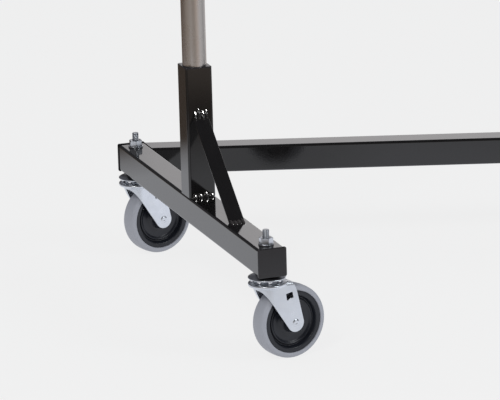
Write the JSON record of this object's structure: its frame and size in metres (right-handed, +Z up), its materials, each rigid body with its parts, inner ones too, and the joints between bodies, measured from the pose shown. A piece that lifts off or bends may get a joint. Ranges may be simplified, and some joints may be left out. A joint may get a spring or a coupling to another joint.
{
  "type": "garment rail",
  "caption": "Rolling garment rail: diagonal rail between two square-tube end legs, a round hang rail on two uprights, and swivel casters.",
  "frame": {"origin": "on the floor, midway between the two end legs and midway front to back", "axes": "+X along the rail towards the right-hand leg, +Y to the rear, +Z up"},
  "size_m": [1.8434, 0.6388, 1.7],
  "materials": {
    "black_paint": "high gloss black powder coat",
    "satin_chrome": "satin chrome plate",
    "bright_zinc": "bright zinc plate",
    "ball_steel": "polished steel",
    "wheel_black": "moulded, semi-gloss",
    "tyre_grey": "smooth matt grey rubber",
    "cap_black": "moulded, semi-gloss"
  },
  "bodies": {
    "frame": {"base_rail": "black_paint", "left_leg": "black_paint", "left_socket": "black_paint", "left_socket_bush": "cap_black", "left_strut": "black_paint", "left_weld_beads": "black_paint", "right_leg": "black_paint", "right_socket": "black_paint", "right_socket_bush": "cap_black", "right_strut": "black_paint", "right_weld_beads": "black_paint", "front_left_end_cap": "cap_black", "front_right_end_cap": "cap_black", "rear_left_end_cap": "cap_black", "rear_right_end_cap": "cap_black", "front_left_stem": "bright_zinc", "front_right_stem": "bright_zinc", "rear_left_stem": "bright_zinc", "rear_right_stem": "bright_zinc", "front_left_race_cup": "bright_zinc", "front_right_race_cup": "bright_zinc", "rear_left_race_cup": "bright_zinc", "rear_right_race_cup": "bright_zinc", "stem_washers": "bright_zinc", "stem_nuts": "bright_zinc"},
    "hoop": {"hang_rail": "satin_chrome", "left_upright": "satin_chrome", "left_spigot": "satin_chrome", "right_upright": "satin_chrome", "right_spigot": "satin_chrome"},
    "front_left_swivel": {"front_left_fork": "bright_zinc", "front_left_ball_ring": "ball_steel", "front_left_axle": "bright_zinc", "front_left_axle_bush": "bright_zinc"},
    "front_left_wheel": {"front_left_wheel_hub": "wheel_black", "front_left_tyre": "tyre_grey"},
    "front_right_swivel": {"front_right_fork": "bright_zinc", "front_right_ball_ring": "ball_steel", "front_right_axle": "bright_zinc", "front_right_axle_bush": "bright_zinc"},
    "front_right_wheel": {"front_right_wheel_hub": "wheel_black", "front_right_tyre": "tyre_grey"},
    "rear_left_swivel": {"rear_left_fork": "bright_zinc", "rear_left_ball_ring": "ball_steel", "rear_left_axle": "bright_zinc", "rear_left_axle_bush": "bright_zinc"},
    "rear_left_wheel": {"rear_left_wheel_hub": "wheel_black", "rear_left_tyre": "tyre_grey"},
    "rear_right_swivel": {"rear_right_fork": "bright_zinc", "rear_right_ball_ring": "ball_steel", "rear_right_axle": "bright_zinc", "rear_right_axle_bush": "bright_zinc"},
    "rear_right_wheel": {"rear_right_wheel_hub": "wheel_black", "rear_right_tyre": "tyre_grey"}
  },
  "joints": [
    {"name": "hoop_lift", "type": "slide", "parent": "frame", "child": "hoop", "axis": [0, 0, 1], "range_m": [0, 0.19]},
    {"name": "front_left_swivel", "type": "hinge", "parent": "frame", "child": "front_left_swivel", "pos_m": [-0.89595, -0.28655, 0.11], "axis": [0, 0, 1], "continuous": true},
    {"name": "front_left_roll", "type": "hinge", "parent": "front_left_swivel", "child": "front_left_wheel", "pos_m": [-0.86477, -0.27935, 0.0508], "axis": [-0.225, 0.9744, 0], "continuous": true},
    {"name": "front_right_swivel", "type": "hinge", "parent": "frame", "child": "front_right_swivel", "pos_m": [0.89595, -0.28655, 0.11], "axis": [0, 0, 1], "continuous": true},
    {"name": "front_right_roll", "type": "hinge", "parent": "front_right_swivel", "child": "front_right_wheel", "pos_m": [0.86497, -0.29456, 0.0508], "axis": [-0.2504, 0.9681, 0], "continuous": true},
    {"name": "rear_left_swivel", "type": "hinge", "parent": "frame", "child": "rear_left_swivel", "pos_m": [-0.89595, 0.28655, 0.11], "axis": [0, 0, 1], "continuous": true},
    {"name": "rear_left_roll", "type": "hinge", "parent": "rear_left_swivel", "child": "rear_left_wheel", "pos_m": [-0.86497, 0.29456, 0.0508], "axis": [-0.2504, 0.9681, 0], "continuous": true},
    {"name": "rear_right_swivel", "type": "hinge", "parent": "frame", "child": "rear_right_swivel", "pos_m": [0.89595, 0.28655, 0.11], "axis": [0, 0, 1], "continuous": true},
    {"name": "rear_right_roll", "type": "hinge", "parent": "rear_right_swivel", "child": "rear_right_wheel", "pos_m": [0.86477, 0.27935, 0.0508], "axis": [-0.225, 0.9744, 0], "continuous": true}
  ]
}
